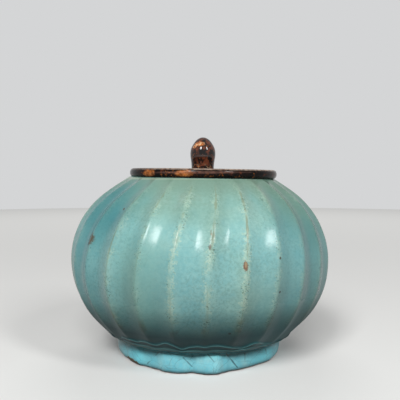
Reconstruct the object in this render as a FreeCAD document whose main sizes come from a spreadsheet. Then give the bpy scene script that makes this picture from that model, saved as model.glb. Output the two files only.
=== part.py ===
import FreeCAD, Part

import math
import os

import Sketcher

# A lidded, fluted stoneware jar. A squat round body with upright flutes stands on a low
# lobed foot ring, and a thin lacquered lid with an egg-shaped knob lies on its mouth.
# Lengths are in millimetres and angles in degrees. +Z is up, the origin is the centre of
# the plane that the foot stands on, and the front of the jar faces -Y.

SIZES = {
    # outside of the body, measured over the ridges between the flutes
    "belly_radius": 90.5,
    "belly_height": 66.0,
    "mouth_radius": 51.4,
    "mouth_height": 122.6,
    "upper_sweep_angle": 59.0,
    "base_radius": 66.3,
    "base_rise": 1.2,
    "base_lip_inset": 3.3,
    "lower_sweep_angle": 44.0,
    # flutes, counted and turned from the front towards the right
    "flute_count": 26,
    "flute_depth": 2.0,
    "ridge_turn_angle": 2.9,
    "ridge_lean_angle": 5.0,
    # hollow of the body
    "wall_thickness": 7.0,
    "floor_thickness": 7.0,
    "floor_radius": 50.0,
    "floor_edge_radius": 62.0,
    "floor_edge_rise": 2.6,
    "mouth_bore_radius": 43.4,
    "mouth_bore_depth": 4.0,
    # foot ring
    "foot_radius": 58.4,
    "foot_height": 15.6,
    "foot_lobe_count": 13,
    "foot_lobe_depth": 1.9,
    "foot_lobe_angle": 9.0,
    "foot_edge_round": 2.2,
    "foot_wall": 8.0,
    # lid plate and the ring under it that keeps it in the mouth
    "lid_radius": 52.3,
    "lid_thickness": 6.2,
    "lid_lip_width": 2.4,
    "lid_lip_height": 0.7,
    "ring_clearance": 3.0,
    "ring_wall": 3.4,
    "ring_depth": 9.0,
    # knob
    "knob_radius": 8.75,
    "knob_height": 23.5,
    "knob_widest_height": 9.0,
    "knob_base_radius": 7.8,
    "tenon_radius": 3.5,
    "tenon_length": 3.6,
    "tenon_clearance": 0.1,
    # how far a cutting solid runs past what it cuts
    "overrun": 2.0,
}

# The outlines of the wall: how far each lies from the belly towards the base or the mouth,
# and what share of the flutes' depth and of the ridges' lean it has.
LOWER_OUTLINES = [(1.0, 0.35, 0.0), (0.75, 0.6, 0.0), (0.5, 0.8, 0.0), (0.25, 0.95, 0.0)]
UPPER_OUTLINES = [
    (0.0, 1.0, 0.0),
    (0.2, 1.0, 0.08),
    (0.4, 0.95, 0.24),
    (0.58, 0.88, 0.5),
    (0.75, 0.72, 0.8),
    (0.9, 0.0, 1.0),
    (1.0, 0.0, 1.0),
]
HOLLOW_STEPS = 3
# The foot's outside at shares of its height: how much of the edge round is taken off
# there, and how much of the lobes' depth is left.
FOOT_HEIGHT_SHARES = [0.0, 0.07, 0.22, 1.0]
FOOT_INSET_SHARES = [1.0, 0.35, 0.0, 0.45]
FOOT_LOBE_SHARES = [1.0, 1.0, 1.0, 0.7]
# A lobe's share of its pitch, and how much of the lobes' depth its own arc takes.
LOBE_WIDTH_SHARE = 0.6
LOBE_BULGE_SHARE = 0.6
# The lid lies off centre by this share of the play that its ring has in the mouth.
LID_SHIFT_SHARE = 0.8
RIM_TURN_ANGLES = [-90, -45, 0, 45, 90]
KNOB_TURN_ANGLES = [25, 50, 72]


def make_sheet(doc):
    """The driving sizes, one named cell each."""
    sheet = doc.addObject("Spreadsheet::Sheet", "sizes")
    for row, (name, number) in enumerate(SIZES.items(), start=1):
        sheet.set(f"A{row}", name)
        sheet.set(f"B{row}", str(number))
        sheet.setAlias(f"B{row}", name)
    doc.recompute()
    return {name: float(sheet.get(name)) for name in SIZES}


def swept_point(size, end_radius, end_height, sweep_angle, share):
    """Radius and height at a share of the elliptical sweep from the belly to an end."""
    turn = math.radians(sweep_angle * share)
    full_turn = math.radians(sweep_angle)
    inward_share = (1 - math.cos(turn)) / (1 - math.cos(full_turn))
    along_share = math.sin(turn) / math.sin(full_turn)
    radius = size["belly_radius"] + (end_radius - size["belly_radius"]) * inward_share
    height = size["belly_height"] + (end_height - size["belly_height"]) * along_share
    return radius, height


def swept_expressions(start, end, sweep, share):
    """The same sweep as a pair of expressions, between two (radius, height) pairs."""
    inward = f"(1 - cos({share} * {sweep} * 1 deg)) / (1 - cos({sweep} * 1 deg))"
    along = f"sin({share} * {sweep} * 1 deg) / sin({sweep} * 1 deg)"
    radius = f"{start[0]} + ({end[0]} - ({start[0]})) * {inward}"
    height = f"{start[1]} + ({end[1]} - ({start[1]})) * {along}"
    return radius, height


def level_point(radius, angle):
    """A point at z = 0, its angle turned from the front (-Y) towards the right (+X)."""
    return FreeCAD.Vector(radius * math.sin(angle), -radius * math.cos(angle), 0)


def fluted_outline(ridge_radius, depth, count, first_angle):
    """A closed level outline of hollow arcs that meet at the ridges."""
    pitch = 2 * math.pi / count
    edges = []
    for number in range(count):
        ridge = math.radians(first_angle) + pitch * number
        start = level_point(ridge_radius, ridge)
        valley = level_point(ridge_radius - depth, ridge + pitch / 2)
        end = level_point(ridge_radius, ridge + pitch)
        edges.append(Part.Arc(start, valley, end).toShape())
    return Part.Wire(edges)


def lobed_outline(crest_radius, depth, count, first_angle):
    """A closed level outline of round lobes with narrower hollow arcs between them."""
    pitch = 2 * math.pi / count
    half_lobe = pitch * LOBE_WIDTH_SHARE / 2
    end_radius = crest_radius - depth * LOBE_BULGE_SHARE
    edges = []
    for number in range(count):
        crest = math.radians(first_angle) + pitch * number
        lobe_start = level_point(end_radius, crest - half_lobe)
        top = level_point(crest_radius, crest)
        lobe_end = level_point(end_radius, crest + half_lobe)
        notch = level_point(crest_radius - depth, crest + pitch / 2)
        next_start = level_point(end_radius, crest + pitch - half_lobe)
        edges.append(Part.Arc(lobe_start, top, lobe_end).toShape())
        edges.append(Part.Arc(lobe_end, notch, next_start).toShape())
    return Part.Wire(edges)


def banded_loft(doc, name, outlines):
    """A solid with straight-sided bands between level outlines, given as (height, wire)."""
    sections = []
    for number, (height, wire) in enumerate(outlines):
        section = doc.addObject("Part::Feature", f"{name}_outline_{number}")
        section.Shape = wire
        section.Placement.Base = FreeCAD.Vector(0, 0, height)
        sections.append(section)
    loft = doc.addObject("Part::Loft", name)
    loft.Sections = sections
    loft.Solid = True
    loft.Ruled = True
    return loft


def bound_outline(sketch, vertices):
    """Closed straight outline in a sketch, each vertex a pair of expressions.

    The word axis in place of a radius puts the vertex on the sketch's upright axis, and
    the word level in place of a height puts it on the sketch's other axis.
    """
    places = []
    for radius, height in vertices:
        across = 0 if radius == "axis" else float(sketch.evalExpression(radius))
        up = 0 if height == "level" else float(sketch.evalExpression(height))
        places.append(FreeCAD.Vector(across, up, 0))
    count = len(places)
    for number in range(count):
        line = Part.LineSegment(places[number], places[(number + 1) % count])
        sketch.addGeometry(line, False)
    for number in range(count):
        before = (number - 1) % count
        sketch.addConstraint(Sketcher.Constraint("Coincident", before, 2, number, 1))
    for number, (radius, height) in enumerate(vertices):
        bind_vertex(sketch, number, "across", radius, places[number].x)
        bind_vertex(sketch, number, "up", height, places[number].y)


def bind_vertex(sketch, number, direction, expression, distance):
    """Hold the start of one line by an expression, or on an axis of the sketch."""
    if expression == "axis":
        sketch.addConstraint(Sketcher.Constraint("PointOnObject", number, 1, -2))
        return
    if expression == "level":
        sketch.addConstraint(Sketcher.Constraint("PointOnObject", number, 1, -1))
        return
    kind = "DistanceX" if direction == "across" else "DistanceY"
    index = sketch.addConstraint(Sketcher.Constraint(kind, -1, 1, number, 1, distance))
    name = f"{direction}_{number}"
    sketch.renameConstraint(index, name)
    sketch.setExpression(f"Constraints.{name}", expression)


def turned_body(doc, label, vertices):
    """A turned piece: a closed half section revolved about the body's own Z axis."""
    body = doc.addObject("PartDesign::Body", label)
    sketch = body.newObject("Sketcher::SketchObject", f"{label}_half_section")
    upright = [plane for plane in body.Origin.OriginFeatures if plane.Role == "XZ_Plane"]
    sketch.AttachmentSupport = [(upright[0], "")]
    sketch.MapMode = "FlatFace"
    doc.recompute()
    bound_outline(sketch, vertices)
    turned = body.newObject("PartDesign::Revolution", f"{label}_turned")
    turned.Profile = sketch
    turned.ReferenceAxis = (sketch, ["V_Axis"])
    turned.Angle = 360
    body.Tip = turned
    return body


def fluted_wall(doc, size):
    """The outside of the body, from its bottom edge up to the mouth."""
    base_height = size["foot_height"] + size["base_rise"]

    def outline(radius, depth_share, lean_share):
        narrowing = radius / size["belly_radius"]
        depth = size["flute_depth"] * depth_share * narrowing**2
        turn = size["ridge_turn_angle"] + size["ridge_lean_angle"] * lean_share
        return fluted_outline(radius, depth, int(size["flute_count"]), turn)

    lip_radius = size["base_radius"] - size["base_lip_inset"]
    base_depth_share = LOWER_OUTLINES[0][1]
    outlines = [(size["foot_height"], outline(lip_radius, base_depth_share, 0))]
    for share, depth_share, lean_share in LOWER_OUTLINES:
        radius, height = swept_point(
            size, size["base_radius"], base_height, size["lower_sweep_angle"], share
        )
        outlines.append((height, outline(radius, depth_share, lean_share)))
    for share, depth_share, lean_share in UPPER_OUTLINES:
        radius, height = swept_point(
            size, size["mouth_radius"], size["mouth_height"], size["upper_sweep_angle"], share
        )
        outlines.append((height, outline(radius, depth_share, lean_share)))
    return banded_loft(doc, "fluted_wall", outlines)


def body_hollow(doc):
    """The thrown hollow inside the body, a turned solid that is cut out of the wall."""
    belly = ("sizes.belly_radius - sizes.wall_thickness", "sizes.belly_height")
    floor = "sizes.foot_height + sizes.floor_thickness"
    floor_edge = ("sizes.floor_edge_radius", f"{floor} + sizes.floor_edge_rise")
    neck = ("sizes.mouth_bore_radius", "sizes.mouth_height - sizes.mouth_bore_depth")
    above_mouth = "sizes.mouth_height + sizes.overrun"
    vertices = [("axis", floor), ("sizes.floor_radius", floor)]
    for number in range(HOLLOW_STEPS):
        share = 1 - number / HOLLOW_STEPS
        vertices.append(swept_expressions(belly, floor_edge, "sizes.lower_sweep_angle", share))
    for number in range(HOLLOW_STEPS + 1):
        share = number / HOLLOW_STEPS
        vertices.append(swept_expressions(belly, neck, "sizes.upper_sweep_angle", share))
    vertices += [("sizes.mouth_bore_radius", above_mouth), ("axis", above_mouth)]
    return turned_body(doc, "body_hollow", vertices)


def jar_body(doc, size):
    body = doc.addObject("Part::Cut", "jar_body")
    body.Base = fluted_wall(doc, size)
    body.Tool = body_hollow(doc)
    return body


def foot_ring(doc, size):
    """The low lobed foot, open inside, that is luted under the body."""
    outlines = []
    for height_share, inset_share, lobe_share in zip(
        FOOT_HEIGHT_SHARES, FOOT_INSET_SHARES, FOOT_LOBE_SHARES
    ):
        radius = size["foot_radius"] - size["foot_edge_round"] * inset_share
        depth = size["foot_lobe_depth"] * lobe_share
        wire = lobed_outline(radius, depth, int(size["foot_lobe_count"]), size["foot_lobe_angle"])
        outlines.append((size["foot_height"] * height_share, wire))
    recess = doc.addObject("Part::Cylinder", "foot_recess")
    recess.setExpression("Radius", "sizes.foot_radius - sizes.foot_wall")
    recess.setExpression("Height", "sizes.foot_height + 2 * sizes.overrun")
    recess.setExpression("Placement.Base.z", "-sizes.overrun")
    ring = doc.addObject("Part::Cut", "foot_ring")
    ring.Base = banded_loft(doc, "lobed_wall", outlines)
    ring.Tool = recess
    return ring


def place_on_mouth(piece, height):
    """Put a piece of the lid off centre, at a height given as an expression."""
    piece.setExpression("Placement.Base.x", f"sizes.ring_clearance * {LID_SHIFT_SHARE}")
    piece.setExpression("Placement.Base.z", height)
    return piece


def lid_plate(doc):
    """The flat lid: a half-round rim, a low lip round the top and a hole for the knob."""
    half = "sizes.lid_thickness / 2"
    rim_centre = f"sizes.lid_radius - {half}"
    panel = "sizes.lid_thickness - sizes.lid_lip_height"
    hole = "sizes.tenon_radius + sizes.tenon_clearance"
    hole_floor = f"{panel} - sizes.tenon_length - sizes.tenon_clearance"
    vertices = [("axis", "level"), (rim_centre, "level")]
    for turn in RIM_TURN_ANGLES[1:]:
        vertices.append((f"{rim_centre} + {half} * cos({turn} deg)", f"{half} + {half} * sin({turn} deg)"))
    vertices.append((f"{rim_centre} - sizes.lid_lip_width", panel))
    vertices += [(hole, panel), (hole, hole_floor), ("axis", hole_floor)]
    return place_on_mouth(turned_body(doc, "lid_plate", vertices), "sizes.mouth_height")


def lid_locating_ring(doc):
    """The ring under the lid, loose enough in the mouth for the lid to lie off centre."""
    outer = "sizes.mouth_bore_radius - sizes.ring_clearance"
    inner = f"{outer} - sizes.ring_wall"
    vertices = [
        (inner, "level"),
        (outer, "level"),
        (outer, "-sizes.ring_depth"),
        (inner, "-sizes.ring_depth"),
    ]
    return place_on_mouth(turned_body(doc, "lid_locating_ring", vertices), "sizes.mouth_height")


def lid_knob(doc):
    """The egg-shaped knob, with a tenon that sits in the lid's hole."""
    vertices = [("axis", "-sizes.tenon_length"), ("sizes.tenon_radius", "-sizes.tenon_length")]
    vertices += [("sizes.tenon_radius", "level"), ("sizes.knob_base_radius", "level")]
    vertices.append(("sizes.knob_radius", "sizes.knob_widest_height"))
    crown = "(sizes.knob_height - sizes.knob_widest_height)"
    for turn in KNOB_TURN_ANGLES:
        radius = f"sizes.knob_radius * cos({turn} deg)"
        vertices.append((radius, f"sizes.knob_widest_height + {crown} * sin({turn} deg)"))
    vertices.append(("axis", "sizes.knob_height"))
    seat = "sizes.mouth_height + sizes.lid_thickness - sizes.lid_lip_height"
    return place_on_mouth(turned_body(doc, "lid_knob", vertices), seat)


def check(doc, pieces):
    """Stop if any feature failed or any piece isn't one sound solid."""
    for item in doc.Objects:
        if "Invalid" in item.State or "Error" in item.State:
            raise RuntimeError(f"{item.Name} failed: {item.State}")
    for piece in pieces:
        shape = piece.Shape
        if shape.isNull() or not shape.isValid() or len(shape.Solids) != 1:
            raise RuntimeError(f"{piece.Label} isn't one sound solid")
        if shape.Volume <= 0:
            raise RuntimeError(f"{piece.Label} has no volume")


def main():
    doc = FreeCAD.newDocument("fluted_jar")
    size = make_sheet(doc)
    pieces = [jar_body(doc, size), foot_ring(doc, size)]
    pieces += [lid_plate(doc), lid_locating_ring(doc), lid_knob(doc)]
    doc.recompute()
    check(doc, pieces)
    os.makedirs("parts", exist_ok=True)
    for piece in pieces:
        piece.Shape.exportStep(f"parts/{piece.Label}.step")
        box = piece.Shape.BoundBox
        print(f"{piece.Label}: volume {piece.Shape.Volume:.0f}, from z {box.ZMin:.2f} to {box.ZMax:.2f}")


main()
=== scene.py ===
"""A squat fluted jar with a lacquered lid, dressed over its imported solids.

Each operator builds one piece of the jar, and the last one sets the stage. The sizes and
colours that a potter would change stand in the property groups, and the panel in the
sidebar lists them with the operators.
"""
import math
import random

import bmesh
import bpy
from bpy.props import FloatProperty, FloatVectorProperty, IntProperty, PointerProperty
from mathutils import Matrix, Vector


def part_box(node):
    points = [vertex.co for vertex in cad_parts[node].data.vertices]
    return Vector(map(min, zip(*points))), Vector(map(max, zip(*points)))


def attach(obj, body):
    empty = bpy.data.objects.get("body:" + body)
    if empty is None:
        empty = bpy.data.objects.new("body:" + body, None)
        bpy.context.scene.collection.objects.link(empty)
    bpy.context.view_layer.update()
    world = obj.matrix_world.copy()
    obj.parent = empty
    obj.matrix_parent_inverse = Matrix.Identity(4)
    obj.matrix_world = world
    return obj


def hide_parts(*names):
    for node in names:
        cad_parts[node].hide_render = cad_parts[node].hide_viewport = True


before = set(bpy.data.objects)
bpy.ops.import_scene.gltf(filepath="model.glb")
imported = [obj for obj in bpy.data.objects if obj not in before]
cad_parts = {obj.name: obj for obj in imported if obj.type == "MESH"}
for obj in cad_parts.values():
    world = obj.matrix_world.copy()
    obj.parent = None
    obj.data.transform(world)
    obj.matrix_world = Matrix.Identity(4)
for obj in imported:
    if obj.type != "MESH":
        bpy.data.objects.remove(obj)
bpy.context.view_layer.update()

bl_info = {
    "name": "Fluted lidded jar",
    "version": (1, 0, 0),
    "blender": (4, 5, 0),
    "location": "View3D > Sidebar > Jar",
    "description": "Builds a fluted celadon jar, its lobed foot and its lacquered lid",
    "category": "Object",
}

MM = 0.001


def node_height(node, end):
    """The lowest (0) or highest (1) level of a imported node, in metres."""
    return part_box(node)[end][2]


FOOT_TOP = node_height("foot_ring", 1)
MOUTH_LEVEL = node_height("jar_body", 1)
LID_TOP = node_height("lid_plate", 1)
KNOB_TOP = node_height("lid_knob", 1)


def length_property(name, description, millimetres):
    return FloatProperty(
        name=name, description=description, default=millimetres * MM, unit="LENGTH")


def angle_property(name, description, degrees):
    return FloatProperty(
        name=name, description=description, default=math.radians(degrees),
        subtype="ANGLE", unit="ROTATION")


def power_property(name, description, watts):
    return FloatProperty(
        name=name, description=description, default=watts, subtype="POWER", unit="POWER")


def rgb(red, green, blue):
    """A colour given as it looks on a screen, from 0 to 255, as linear light."""
    def linear(value):
        value /= 255.0
        return value / 12.92 if value <= 0.04045 else ((value + 0.055) / 1.055) ** 2.4
    return (linear(red), linear(green), linear(blue), 1.0)


def colour_property(name, description, red, green, blue):
    return FloatVectorProperty(
        name=name, description=description, subtype="COLOR", size=4, min=0.0, max=1.0,
        default=rgb(red, green, blue))


class JarSizes(bpy.types.PropertyGroup):
    """Sizes of the fluted wall."""

    lean: angle_property("Lean", "How far the jar leans to the right on its foot", 0.8)
    belly_bend: length_property(
        "Belly bend", "Radius of the belly's curve, seen from the side", 58.6)
    belly_bend_offset: length_property(
        "Belly bend offset", "Distance of that curve's centre from the axis", 32.3)
    belly_height: length_property("Belly height", "Height of the widest place", 65.5)
    shoulder_bend: length_property(
        "Shoulder bend", "Radius of the flatter curve under the mouth", 120.8)
    edge_radius: length_property("Bottom edge radius", "Radius of the wall's bottom edge", 66.3)
    wall: length_property("Wall", "Thickness of the wall", 7.0)
    mouth_bore: length_property("Mouth bore", "Inner radius of the mouth", 43.4)
    flutes: IntProperty(
        name="Flutes", description="Number of hollow flutes round the wall", default=26, min=3)
    flute_depth: length_property("Flute depth", "Depth of a flute at the belly", 2.5)
    first_ridge: angle_property(
        "First ridge", "Turn of the front ridge from the middle", 2.9)
    ridge_lean: angle_property(
        "Ridge lean", "Turn of the ridges to the right at the mouth", 5.0)
    shoulder_swell: length_property(
        "Shoulder swell", "How much fuller the right shoulder is", 0.6)
    collar_step: length_property(
        "Collar step", "How far the collar over the foot stands out", 0.8)
    mouth_shift: length_property(
        "Mouth shift", "How far the mouth was pressed to the right", 0.7)
    rim_rise: length_property(
        "Rim rise", "How much higher the rim stands at its left end", 0.6)


class FootSizes(bpy.types.PropertyGroup):
    """Sizes of the lobed foot."""

    inner_radius: length_property("Inner radius", "Inner radius of the foot", 49.8)
    edge_round: length_property(
        "Edge round", "Rounding of the edge that stands on the table", 3.4)
    reach_up: length_property(
        "Reach up", "How far the foot reaches into the body's underside", 1.6)


class LidSizes(bpy.types.PropertyGroup):
    """Sizes of the lid, its ring and its knob."""

    radius: length_property("Radius", "Outer radius of the lid", 52.3)
    shift: length_property("Shift", "How far the lid lies to the right in its play", 1.7)
    knob_shift: length_property(
        "Knob shift", "How far the knob stands to the right of the jar's axis", 1.2)
    lip_height: length_property("Lip height", "Height of the low lip round the lid's top", 0.7)
    ring_radius: length_property("Ring radius", "Outer radius of the ring under the lid", 40.4)
    ring_wall: length_property("Ring wall", "Thickness of the ring under the lid", 3.4)
    knob_radius: length_property("Knob radius", "Radius of the knob's widest place", 9.05)


class GlazeLook(bpy.types.PropertyGroup):
    """Colours of the glazes."""

    flute: colour_property("Flute", "Glaze in the flutes", 150, 194, 188)
    deep: colour_property("Deep flute", "Glaze where it lies thickest", 120, 176, 178)
    green: colour_property("Green", "Greener glaze of the shoulder", 118, 150, 134)
    ridge: colour_property("Ridge", "Thin glaze on the ridges", 182, 206, 188)
    core: colour_property("Ridge line", "Clay that shows through on the ridges", 126, 122, 88)
    foot: colour_property("Foot", "Bright glaze of the foot", 152, 224, 232)
    foot_deep: colour_property("Deep foot", "Darker glaze of the foot", 108, 196, 212)


class LacquerLook(bpy.types.PropertyGroup):
    """Colours of the lacquer."""

    dark: colour_property("Dark", "Darkest lacquer", 9, 7, 6)
    brown: colour_property("Brown", "Brown lacquer", 30, 16, 11)
    red: colour_property("Red", "Red-brown flecks", 110, 56, 34)
    amber: colour_property("Amber", "Amber flecks and patches", 192, 112, 52)


class StageLook(bpy.types.PropertyGroup):
    """Floor, backdrop and lights."""

    floor: colour_property("Floor", "Pale floor", 216, 216, 214)
    floor_bounce: colour_property("Floor bounce", "What the floor throws back", 34, 34, 34)
    backdrop: colour_property("Backdrop", "Pale backdrop", 212, 213, 214)
    fill: colour_property("Fill", "Soft light from all round", 64, 64, 66)
    floor_radius: FloatProperty(
        name="Floor radius", description="Radius of the floor", default=1.8, unit="LENGTH")
    front_power: power_property("Front power", "Power of the wide lamp over the camera", 24.0)
    left_power: power_property("Left power", "Power of the left soft box", 30.0)
    right_power: power_property("Right power", "Power of the right soft box", 18.0)
    back_power: power_property("Back power", "Power of the weak lamp behind the jar", 10.0)


WALL_COLUMNS_PER_FLUTE = 10
FOOT_COLUMNS = 240
LID_COLUMNS = 128
KNOB_COLUMNS = 48


def clear_selection():
    if bpy.context.object and bpy.context.object.mode != "OBJECT":
        bpy.ops.object.mode_set(mode="OBJECT")
    bpy.ops.object.select_all(action="DESELECT")


def turn_on_lathe(name, columns, profile, centre_x=0.0, turn=0.0, ring=False):
    """Turns a piece from its profile of (radius, height) pairs, as on a lathe.

    The profile runs from pole to pole, or with ring all the way round a ring's section. A
    column of points lies at the given turn from the front.
    """
    clear_selection()
    side = Vector((math.sin(turn), -math.cos(turn), 0.0))
    points = [Vector((centre_x, 0.0, height)) + radius * side for radius, height in profile]
    if ring:
        points.append(points[0])
    bpy.ops.mesh.primitive_plane_add(size=MM, location=points[0])
    piece = bpy.context.object
    piece.name = name
    piece.data.name = name
    bpy.ops.object.transform_apply()
    bpy.ops.object.mode_set(mode="EDIT")
    bpy.ops.mesh.select_mode(type="VERT")
    bpy.ops.mesh.select_all(action="SELECT")
    bpy.ops.mesh.merge(type="CENTER")
    for here, there in zip(points, points[1:]):
        bpy.ops.mesh.extrude_region_move(TRANSFORM_OT_translate={"value": there - here})
    bpy.ops.mesh.select_all(action="SELECT")
    bpy.ops.mesh.spin(steps=columns, angle=2.0 * math.pi, center=(centre_x, 0.0, 0.0),
                      axis=(0.0, 0.0, 1.0))
    bpy.ops.mesh.select_all(action="SELECT")
    bpy.ops.mesh.remove_doubles(threshold=0.01 * MM)
    bpy.ops.mesh.normals_make_consistent(inside=False)
    bpy.ops.object.mode_set(mode="OBJECT")
    return piece


def apply_modifier(piece, kind, **settings):
    modifier = piece.modifiers.new(kind.title(), kind)
    for key, value in settings.items():
        setattr(modifier, key, value)
    bpy.ops.object.modifier_apply(modifier=modifier.name)


def subdivide_once(piece):
    apply_modifier(piece, "SUBSURF", levels=1, render_levels=1, use_limit_surface=False)


def turn_selected(angle, axis, centre, **more):
    """Turns the selected points by the right-hand rule. With no window the operator turns
    the other way round, so it is given the opposite angle."""
    bpy.ops.transform.rotate(value=-angle, orient_axis=axis, orient_type="GLOBAL",
                             center_override=centre, **more)


def lean_with_jar():
    """Leans the active piece to the right about the middle of the foot's top."""
    bpy.ops.object.mode_set(mode="EDIT")
    bpy.ops.mesh.select_all(action="SELECT")
    turn_selected(bpy.context.scene.jar_sizes.lean, "Y", (0.0, 0.0, FOOT_TOP))
    bpy.ops.object.mode_set(mode="OBJECT")


def azimuth_of(vertex):
    """Angle from the front, positive to the viewer's right, in radians."""
    return math.atan2(vertex.co.x, -vertex.co.y)


def radius_of(vertex):
    return math.hypot(vertex.co.x, vertex.co.y)


def push_out(vertex, distance):
    """Moves a point straight out from the jar's axis."""
    radius = radius_of(vertex)
    vertex.co.x *= (radius + distance) / radius
    vertex.co.y *= (radius + distance) / radius


def degrees_from(vertex, azimuth):
    """How far round the jar a point lies from a place, either way, in degrees."""
    turn = abs(math.degrees(azimuth_of(vertex)) - azimuth)
    return min(turn, 360.0 - turn)


def straight_between(table, x, ease=lambda t: t):
    """Straight-line value at x from (x, value) pairs in rising order."""
    if x <= table[0][0]:
        return table[0][1]
    for (x0, y0), (x1, y1) in zip(table, table[1:]):
        if x <= x1:
            return y0 + (y1 - y0) * ease((x - x0) / (x1 - x0))
    return table[-1][1]


def blend_between(table, x):
    """Smooth value at x from (x, value) pairs in rising order."""
    return straight_between(table, x, lambda t: t * t * (3.0 - 2.0 * t))


def points_over(level, *pairs):
    """Profile points from pairs of radius and height over a level, in millimetres."""
    return [(radius * MM, level + height * MM) for radius, height in pairs]


def arc(centre, radius, start, end, steps):
    """Points (radius, height) along an arc given by its centre and two angles in degrees."""
    points = []
    for i in range(steps + 1):
        angle = math.radians(start + (end - start) * i / steps)
        points.append((centre[0] + radius * math.cos(angle),
                       centre[1] + radius * math.sin(angle)))
    return points


# Heights above the table, in millimetres, with the share of the full flute depth there.
FLUTE_SHARES = [(15.6, 0.0), (17.5, 0.18), (21.0, 0.38), (27.0, 0.7), (36.0, 0.95),
                (50.0, 1.0), (100.0, 1.0), (108.0, 0.9), (114.0, 0.72),
                (118.0, 0.5), (121.0, 0.3), (122.4, 0.16)]

# The collar's wavy upper line: turn from the front in degrees, height in millimetres.
COLLAR_LINE = [(-90.0, 16.6), (-58.0, 16.8), (-52.0, 17.3), (-48.0, 18.4), (-44.0, 20.4),
               (-38.0, 21.3), (-34.0, 19.6), (-30.0, 21.0), (-26.5, 21.9), (-22.0, 20.3),
               (-15.6, 22.7), (-12.0, 21.6), (-8.4, 18.6), (-4.0, 20.3), (0.0, 21.6),
               (7.0, 21.8), (15.0, 20.6), (23.7, 18.1), (30.0, 21.9), (38.7, 18.0),
               (46.0, 17.0), (60.0, 17.0), (90.0, 17.0)]
COLLAR_LEVEL = 20.5

# How much of the line's rise a ring takes, by its height in millimetres.
COLLAR_SLIDE = [(16.6, 0.0), (17.4, 0.2), (18.4, 0.55), (19.3, 0.9), (19.9, 1.0),
                (21.1, 1.0), (22.3, 0.8), (24.0, 0.4), (27.5, 0.0)]

# The collar's section: height in millimetres, with the share of its step there.
COLLAR_BEAD = [(15.6, 0.35), (16.6, 0.65), (17.4, 1.0), (18.4, 0.4), (19.3, 0.3),
               (19.9, 0.65), (20.3, 1.0), (20.7, 0.45), (21.1, 0.05), (21.6, 0.0)]

# Heights of the rings on the straight slope under the belly, in millimetres.
SLOPE_HEIGHTS = (16.6, 17.4, 18.4, 19.3, 19.9, 20.3, 20.7, 21.1, 21.6, 22.3, 23.1, 24.0)
# Where the belly's curve starts and where the shoulder's takes over and ends, in degrees.
BELLY_START, SHOULDER_START, SHOULDER_END = -44.2, 50.5, 60.3


def wall_profile(sizes):
    """Pairs of radius and height from the underside's middle, up the outside, over the
    rim and down the inside. Also gives the numbers of the outside rings."""
    centre = (sizes.belly_bend_offset, sizes.belly_height)
    joint = math.radians(SHOULDER_START)
    shoulder_centre = (
        centre[0] + (sizes.belly_bend - sizes.shoulder_bend) * math.cos(joint),
        centre[1] + (sizes.belly_bend - sizes.shoulder_bend) * math.sin(joint))
    belly = arc(centre, sizes.belly_bend, BELLY_START, SHOULDER_START, 26)
    shoulder = arc(shoulder_centre, sizes.shoulder_bend, SHOULDER_START, SHOULDER_END, 8)[1:]
    low_radius, low_height = belly[0]
    edge_height = SLOPE_HEIGHTS[0] * MM
    widening = (low_radius - sizes.edge_radius) / (low_height - edge_height)
    slope = [(sizes.edge_radius + (h * MM - edge_height) * widening, h * MM)
             for h in SLOPE_HEIGHTS]
    under = points_over(FOOT_TOP, (0.0, 0.0), (24.0, 0.0), (40.0, 0.0), (54.0, 0.0),
                        (60.0, 0.0), (63.6, 0.0), (65.0, 0.1), (65.9, 0.45))
    rim = points_over(MOUTH_LEVEL, (51.75, -0.3), (51.35, 0.0), (50.0, 0.0), (45.0, 0.0),
                      (43.8, -0.1))
    bore = [(sizes.mouth_bore, MOUTH_LEVEL - 0.6 * MM), (sizes.mouth_bore, 120.4 * MM),
            (sizes.mouth_bore, 119.0 * MM)]
    inside = points_over(0.0, (44.2, 118.4), (46.2, 117.6))
    inside += arc(shoulder_centre, sizes.shoulder_bend - sizes.wall, 59.4, 51.5, 3)
    inside += arc(centre, sizes.belly_bend - sizes.wall, 48.0, -42.0, 13)
    inside += points_over(0.0, (64.0, 27.6), (61.0, 25.0), (56.0, 23.6), (50.0, 22.6),
                          (34.0, 22.6), (16.0, 22.6), (0.0, 22.6))
    outside = slope + belly + shoulder
    return under + outside + rim + bore + inside, len(under), len(under) + len(outside)


def ring_numbers(piece, rings):
    """The number of the nearest profile ring for each point of a freshly turned piece."""
    known = {}
    numbers = []
    for vertex in piece.data.vertices:
        radius, height = radius_of(vertex), vertex.co.z
        key = (round(radius / MM, 2), round(height / MM, 2))
        if key not in known:
            known[key] = min(range(len(rings)), key=lambda i: math.hypot(
                rings[i][0] - radius, rings[i][1] - height))
        numbers.append(known[key])
    return numbers


# The flutes' section: 2 gives round hollows, and more gives steeper sides and flat middles.
FLUTE_POWER = 1.6
# How far a flute may be deeper or shallower than the set depth, as a share of it, and the
# share that the vertex group's full weight stands for.
DEPTH_SPREAD = 0.14
DEEPEST_SHARE = 1.2
# The ridges' lean: the level above which all is turned, and how far below it this is felt.
LEAN_START, LEAN_REACH = 119.0 * MM, 73.0 * MM
# The collar's share of its step, by the turn from the front in degrees.
COLLAR_BY_TURN = [(42.0, 1.0), (56.0, 0.1)]
# The wall's slight unevenness: size of the waves and their height.
THROWING_SIZE = 0.034
THROWING_HEIGHT = 0.5 * MM


def flute_weight(u):
    """Share of the depth at u, from 0 on a ridge to 1 in the middle of a flute."""
    return 1.0 - (1.0 - u) ** FLUTE_POWER


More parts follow.
